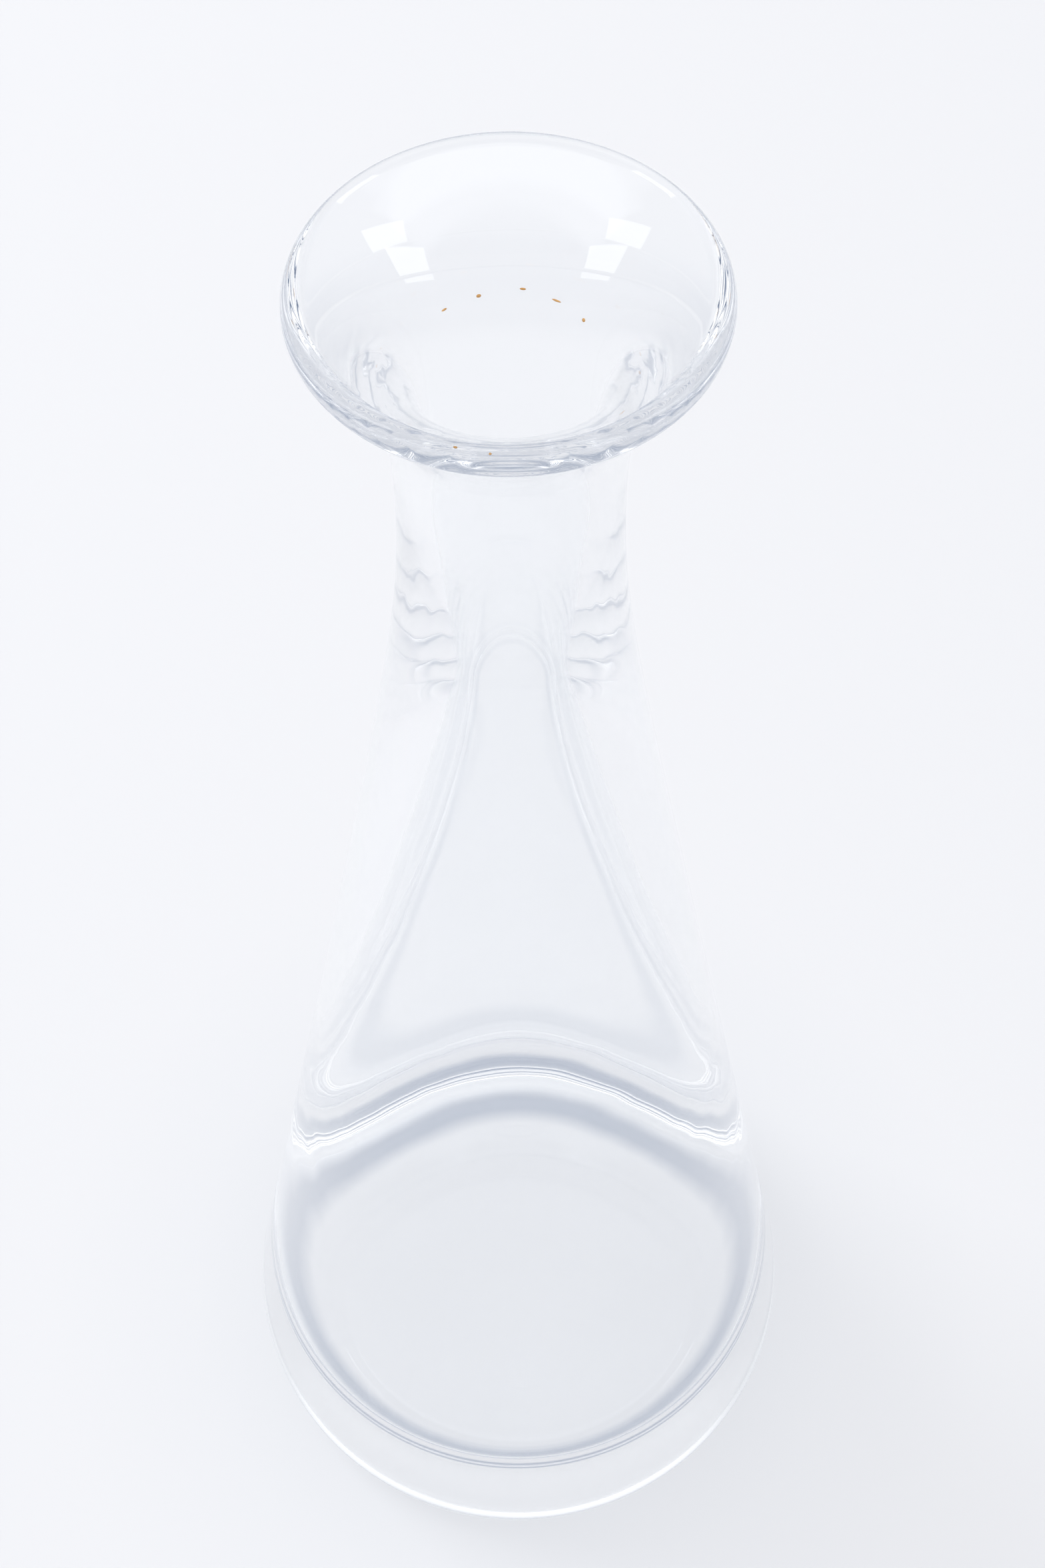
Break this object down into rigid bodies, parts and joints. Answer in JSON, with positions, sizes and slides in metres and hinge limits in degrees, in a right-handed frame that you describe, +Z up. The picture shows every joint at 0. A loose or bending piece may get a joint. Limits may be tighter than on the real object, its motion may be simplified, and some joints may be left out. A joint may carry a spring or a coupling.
{
  "type": "glass trap bottle",
  "caption": "Clear glass trap bottle with a heavy round foot, a tapering conical body, a narrow neck and a flared, rounded mouth",
  "frame": {"origin": "centre of the ring that the bottle stands on", "axes": "+Z up along the axis of the bottle; the shape is a solid of revolution, so X and Y are any two directions across it"},
  "size_m": [0.1088, 0.1088, 0.295],
  "materials": {
    "clear_glass": "clear colourless glass, fire-polished and slightly uneven"
  },
  "bodies": {
    "root": {"glass_bottle": "clear_glass"}
  },
  "joints": []
}
